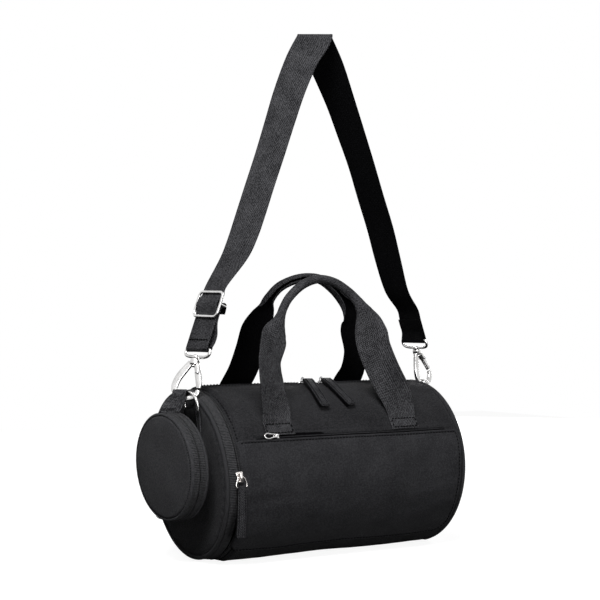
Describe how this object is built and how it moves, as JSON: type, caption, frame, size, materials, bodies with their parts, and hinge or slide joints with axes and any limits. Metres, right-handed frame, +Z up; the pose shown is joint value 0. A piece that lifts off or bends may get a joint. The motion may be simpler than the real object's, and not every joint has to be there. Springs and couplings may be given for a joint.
{
  "type": "sports bag",
  "caption": "Barrel-shaped sports bag with carrying handles, a shoulder strap on swivel snap hooks, a front zip pocket and a round zip pouch hanging at one end.",
  "frame": {"origin": "centre of the flat base under the barrel", "axes": "+X along the barrel away from the pouch end, -Y towards the front pocket, +Z up"},
  "size_m": [0.358, 0.1845, 0.5537],
  "materials": {
    "nylon": "woven",
    "webbing": "woven",
    "tape": "woven",
    "nickel": "polished",
    "steel": "satin"
  },
  "bodies": {
    "bag": {"body_wrap": "nylon", "main_zip_front": "tape", "main_zip_back": "tape", "end_zip_outer": "tape", "end_zip_inner": "tape", "left_end_panel": "nylon", "left_piping": "nylon", "right_end_panel": "nylon", "right_piping": "nylon", "pocket_panel": "nylon", "pocket_zip_upper": "tape", "pocket_zip_lower": "tape", "front_foot_left": "webbing", "front_foot_right": "webbing", "back_foot_left": "webbing", "back_foot_right": "webbing", "left_ring_tab": "webbing", "right_ring_tab": "webbing"},
    "front_handle": {"front_handle": "webbing"},
    "back_handle": {"back_handle": "webbing"},
    "main_slider_left": {"main_slider_left": "nickel"},
    "main_slider_right": {"main_slider_right": "nickel"},
    "main_pull_left": {"main_link_left": "steel", "main_tab_left": "webbing"},
    "main_pull_right": {"main_link_right": "steel", "main_tab_right": "webbing"},
    "end_slider": {"end_slider": "nickel"},
    "end_pull": {"end_bail": "nickel", "end_tab": "webbing"},
    "pocket_slider": {"pocket_slider": "nickel"},
    "pocket_pull": {"pocket_puller": "nickel"},
    "left_d_ring": {"left_d_ring": "nickel"},
    "right_d_ring": {"right_d_ring": "nickel"},
    "strap": {"strap_webbing": "webbing", "strap_return_loop": "webbing", "left_eye": "nickel", "right_eye": "nickel"},
    "adjuster": {"adjuster": "nickel"},
    "left_hook": {"left_hook": "nickel", "left_gate_pin": "steel"},
    "right_hook": {"right_hook": "nickel", "right_gate_pin": "steel"},
    "left_gate": {"left_gate": "nickel"},
    "right_gate": {"right_gate": "nickel"},
    "pouch": {"pouch_outer_shell": "nylon", "pouch_inner_shell": "nylon", "pouch_zip_outer": "tape", "pouch_zip_inner": "tape", "pouch_tab": "webbing"},
    "pouch_slider": {"pouch_slider": "nickel"},
    "pouch_pull": {"pouch_puller": "nickel"}
  },
  "joints": [
    {"name": "front_handle_fold", "type": "hinge", "parent": "bag", "child": "front_handle", "pos_m": [0, -0.073, 0.144], "axis": [1, 0, 0], "range_deg": [0, 80]},
    {"name": "back_handle_fold", "type": "hinge", "parent": "bag", "child": "back_handle", "pos_m": [0, 0.0723, 0.1437], "axis": [-1, 0, 0], "range_deg": [0, 95]},
    {"name": "main_slider_left_run", "type": "slide", "parent": "bag", "child": "main_slider_left", "axis": [-1, 0, 0], "range_m": [0, 0.105]},
    {"name": "main_slider_right_run", "type": "slide", "parent": "bag", "child": "main_slider_right", "axis": [1, 0, 0], "range_m": [0, 0.105]},
    {"name": "main_pull_left_lift", "type": "hinge", "parent": "main_slider_left", "child": "main_pull_left", "pos_m": [-0.0115, 0, 0.1791], "axis": [-1, 0, 0], "range_deg": [0, 95]},
    {"name": "main_pull_right_lift", "type": "hinge", "parent": "main_slider_right", "child": "main_pull_right", "pos_m": [0.0125, 0, 0.1791], "axis": [-1, 0, 0], "range_deg": [0, 95]},
    {"name": "end_slider_run", "type": "hinge", "parent": "bag", "child": "end_slider", "pos_m": [-0.1381, 0, 0.0875], "axis": [-0.9958, 0.0597, -0.0697], "range_deg": [0, 168]},
    {"name": "end_pull_lift", "type": "hinge", "parent": "end_slider", "child": "end_pull", "pos_m": [-0.14381, -0.08962, 0.09219], "axis": [-0.9958, 0.0597, -0.0697], "range_deg": [0, 120]},
    {"name": "pocket_slider_run", "type": "slide", "parent": "bag", "child": "pocket_slider", "axis": [1, 0, 0], "range_m": [0, 0.195]},
    {"name": "pocket_pull_lift", "type": "hinge", "parent": "pocket_slider", "child": "pocket_pull", "pos_m": [-0.098, -0.08329, 0.13049], "axis": [0, 0.4587, 0.8886], "range_deg": [0, 120]},
    {"name": "left_ring_swing", "type": "hinge", "parent": "bag", "child": "left_d_ring", "pos_m": [-0.16342, -0.02864, 0.15428], "axis": [0.0599, 0.9982, 0], "range_deg": [-4, 4]},
    {"name": "right_ring_swing", "type": "hinge", "parent": "bag", "child": "right_d_ring", "pos_m": [0.1436, -0.001, 0.1613], "axis": [0, 1, 0], "range_deg": [-5, 5]},
    {"name": "strap_swing", "type": "hinge", "parent": "bag", "child": "strap", "pos_m": [-0.166, -0.028, 0.169], "axis": [0.9962, 0.0856, 0.0156], "range_deg": [-40, 32]},
    {"name": "adjuster_run", "type": "slide", "parent": "strap", "child": "adjuster", "axis": [0.3419, 0, 0.9397], "range_m": [0, 0.016], "deforming": ["strap_return_loop"]},
    {"name": "left_swivel", "type": "hinge", "parent": "strap", "child": "left_hook", "pos_m": [-0.1672, -0.0236, 0.177], "axis": [0.3419, 0, 0.9397], "range_deg": [-3, 6]},
    {"name": "right_swivel", "type": "hinge", "parent": "strap", "child": "right_hook", "pos_m": [0.1542, 0, 0.1826], "axis": [-0.33, 0, 0.944], "range_deg": [-20, 20]},
    {"name": "left_gate_open", "type": "hinge", "parent": "left_hook", "child": "left_gate", "pos_m": [-0.15653, -0.02841, 0.19227], "axis": [0.6642, 0.7074, -0.2416], "range_deg": [0, 25], "stiffness_Nm_per_rad": 0.004, "springref_deg": -11.46},
    {"name": "right_gate_open", "type": "hinge", "parent": "right_hook", "child": "right_gate", "pos_m": [0.15436, 0.00211, 0.20173], "axis": [-0.2927, 0.9507, -0.1023], "range_deg": [0, 25], "stiffness_Nm_per_rad": 0.004, "springref_deg": -11.46},
    {"name": "pouch_swing", "type": "hinge", "parent": "strap", "child": "pouch", "pos_m": [-0.1731, -0.0211, 0.17], "axis": [1, 0, 0], "range_deg": [-6, 12]},
    {"name": "pouch_slider_run", "type": "hinge", "parent": "pouch", "child": "pouch_slider", "pos_m": [-0.181, -0.0215, 0.098], "axis": [1, 0, 0], "range_deg": [-80, 90]},
    {"name": "pouch_pull_lift", "type": "hinge", "parent": "pouch_slider", "child": "pouch_pull", "pos_m": [-0.181, 0.01075, 0.05194], "axis": [1, 0, 0], "range_deg": [0, 120]}
  ]
}
